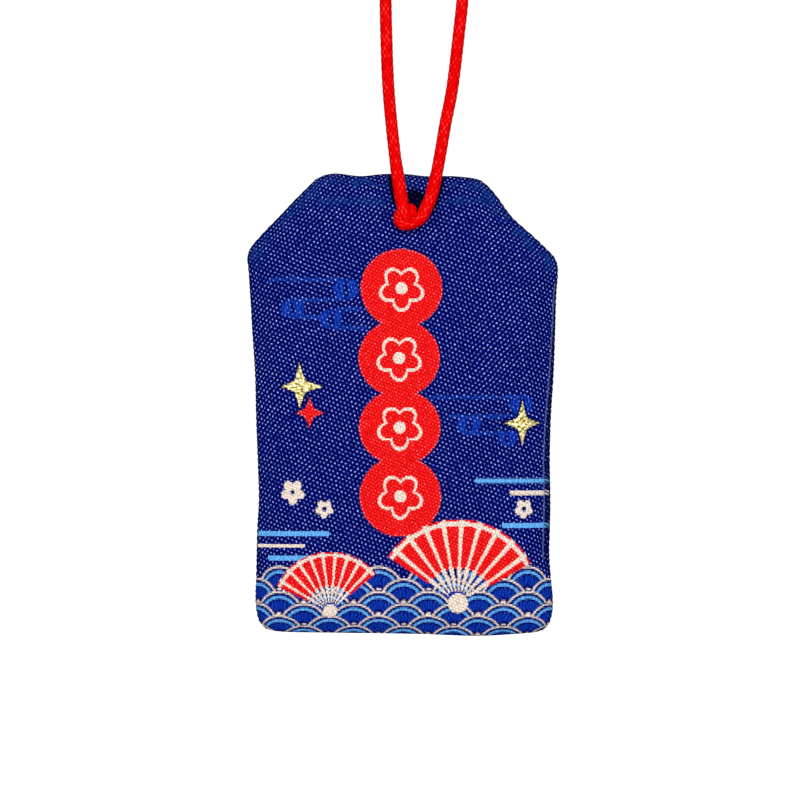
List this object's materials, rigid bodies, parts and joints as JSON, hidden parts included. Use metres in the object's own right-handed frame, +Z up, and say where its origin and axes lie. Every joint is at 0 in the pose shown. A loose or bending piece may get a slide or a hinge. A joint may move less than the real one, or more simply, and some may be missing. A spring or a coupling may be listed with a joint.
{
  "type": "omamori charm",
  "caption": "Flat brocade charm pouch with clipped shoulders, holding a card and a sleeved paper slip, hung on a loop of braided cord tied in front of its mouth.",
  "frame": {"origin": "the point where the loop hangs, between the tops of its strands and just under the knot that joins the cord's ends", "axes": "+Z up along the hanging charm, -Y out of the pouch's front, +X to the right as the front is seen"},
  "size_m": [0.058, 0.0124, 0.1709],
  "materials": {
    "brocade": "woven navy brocade with a soft sheen",
    "cord": "round braided cord",
    "thread": "sewing thread",
    "wadding": "soft cotton sheet",
    "card": "grey-brown board",
    "paper": "uncoated paper"
  },
  "bodies": {
    "loop": {"left_strand": "cord", "right_strand": "cord", "end_knot": "cord"},
    "knot": {"front_knot": "cord"},
    "pouch": {"brocade_pouch": "brocade", "left_seam_thread": "thread", "right_seam_thread": "thread", "front_wadding": "wadding", "card_core": "card", "talisman_sleeve": "paper", "talisman_slip": "paper", "cord_bight": "cord"}
  },
  "joints": [
    {"name": "pouch_nod", "type": "hinge", "parent": "loop", "child": "knot", "pos_m": [0.0004, -0.00522, -0.08], "axis": [-1, 0, 0], "range_deg": [0, 100]},
    {"name": "pouch_swing", "type": "hinge", "parent": "knot", "child": "pouch", "pos_m": [0.0004, -0.00522, -0.08], "axis": [0, 1, 0], "range_deg": [-60, 60]}
  ]
}
